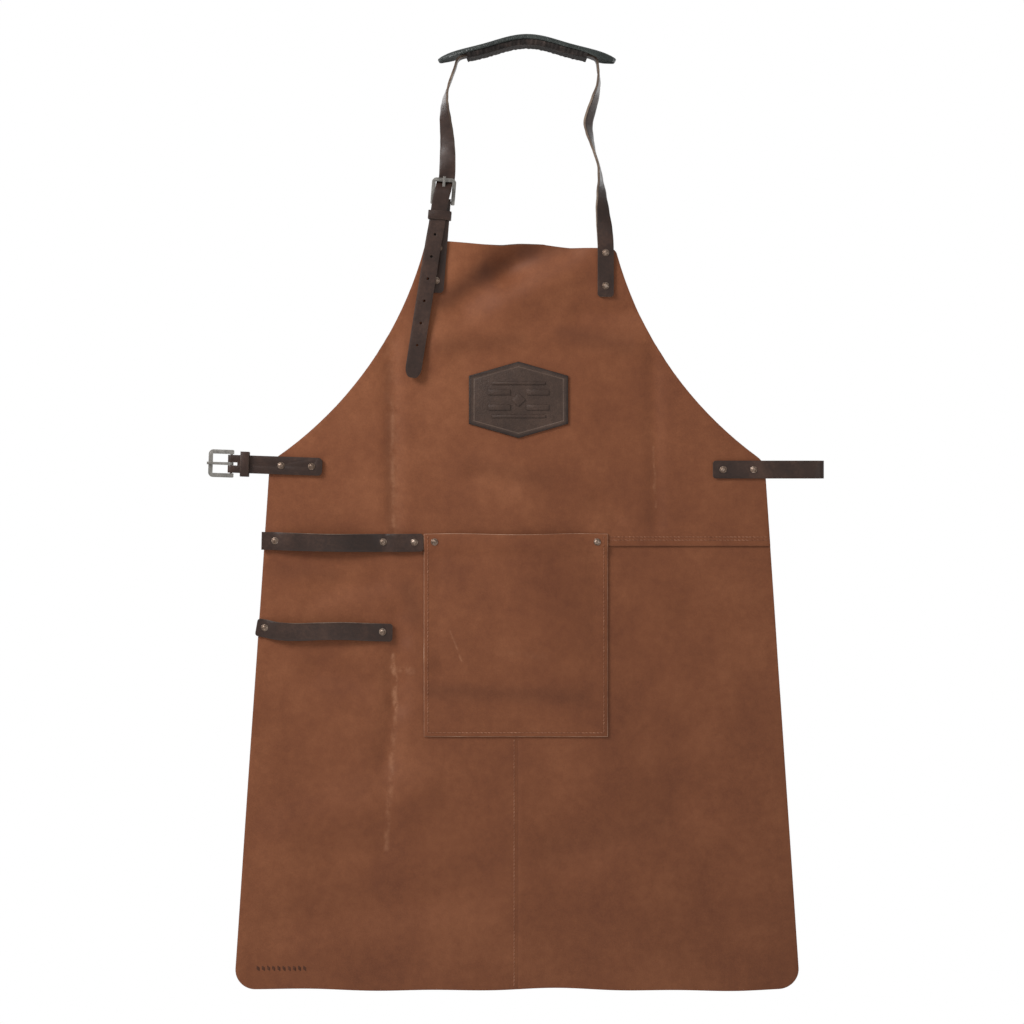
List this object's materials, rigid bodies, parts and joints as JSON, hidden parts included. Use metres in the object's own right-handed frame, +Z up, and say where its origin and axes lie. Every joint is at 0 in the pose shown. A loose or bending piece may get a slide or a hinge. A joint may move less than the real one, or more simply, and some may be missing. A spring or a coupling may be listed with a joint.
{
  "type": "apron",
  "caption": "Leather work apron hanging by its padded neck strap, with front pocket, tool straps, badge and buckled neck and waist straps.",
  "frame": {"origin": "middle of the neck pad's underside, where a hook or peg carries the apron", "axes": "+Z up, +X to the right seen from the front, the front faces -Y"},
  "size_m": [0.6908, 0.04, 1.068],
  "materials": {
    "tan_leather": "waxed, lightly creased",
    "strap_leather": "oiled, pale raw edges",
    "badge_leather": "embossed",
    "pad_leather": "grained, semi-gloss",
    "pad_lining": "suede, wrinkled",
    "pad_filling": "foam",
    "buckle_metal": "antique nickel",
    "rivet_metal": "antique nickel, worn"
  },
  "bodies": {
    "apron": {"badge": "badge_leather", "bib_panel": "tan_leather", "left_skirt_panel": "tan_leather", "lower_tool_strap": "strap_leather", "lower_tool_strap_rivet_backs": "rivet_metal", "lower_tool_strap_rivets": "rivet_metal", "neck_buckle_frame": "buckle_metal", "neck_buckle_prong": "buckle_metal", "neck_buckle_tab": "strap_leather", "neck_strap": "strap_leather", "neck_strap_rivet_backs": "rivet_metal", "neck_strap_rivets": "rivet_metal", "neck_tab_rivet_backs": "rivet_metal", "neck_tab_rivets": "rivet_metal", "pocket": "tan_leather", "pocket_rivet_backs": "rivet_metal", "pocket_rivets": "rivet_metal", "right_skirt_panel": "tan_leather", "upper_tool_strap": "strap_leather", "upper_tool_strap_rivet_backs": "rivet_metal", "upper_tool_strap_rivets": "rivet_metal", "waist_buckle_tab": "strap_leather", "waist_strap": "strap_leather", "waist_strap_rivet_backs": "rivet_metal", "waist_strap_rivets": "rivet_metal", "waist_tab_rivet_backs": "rivet_metal", "waist_tab_rivets": "rivet_metal"},
    "waist_buckle": {"waist_buckle_frame": "buckle_metal"},
    "waist_prong": {"waist_buckle_prong": "buckle_metal"},
    "waist_keeper": {"waist_keeper": "strap_leather"},
    "neck_keeper": {"neck_keeper": "strap_leather"},
    "neck_pad": {"neck_pad_cover": "pad_leather", "neck_pad_filling": "pad_filling", "neck_pad_lining": "pad_lining"}
  },
  "joints": [
    {"name": "waist_buckle_hinge", "type": "hinge", "parent": "apron", "child": "waist_buckle", "pos_m": [-0.331, -0.001, -0.468], "axis": [0.0349, 0, 0.9994], "range_deg": [-60, 40]},
    {"name": "waist_prong_hinge", "type": "hinge", "parent": "waist_buckle", "child": "waist_prong", "pos_m": [-0.331, -0.001, -0.468], "axis": [0.0349, 0, 0.9994], "range_deg": [0, 85]},
    {"name": "waist_keeper_slide", "type": "slide", "parent": "apron", "child": "waist_keeper", "axis": [0.9994, 0, -0.0349], "range_m": [-0.006, 0.021]},
    {"name": "neck_keeper_slide", "type": "slide", "parent": "apron", "child": "neck_keeper", "axis": [-0.0785, 0, -0.9969], "range_m": [-0.005, 0.003]},
    {"name": "neck_pad_slide", "type": "hinge", "parent": "apron", "child": "neck_pad", "pos_m": [0, 0, -0.195], "axis": [0, 1, 0], "range_deg": [-1.7, 1.7]}
  ]
}
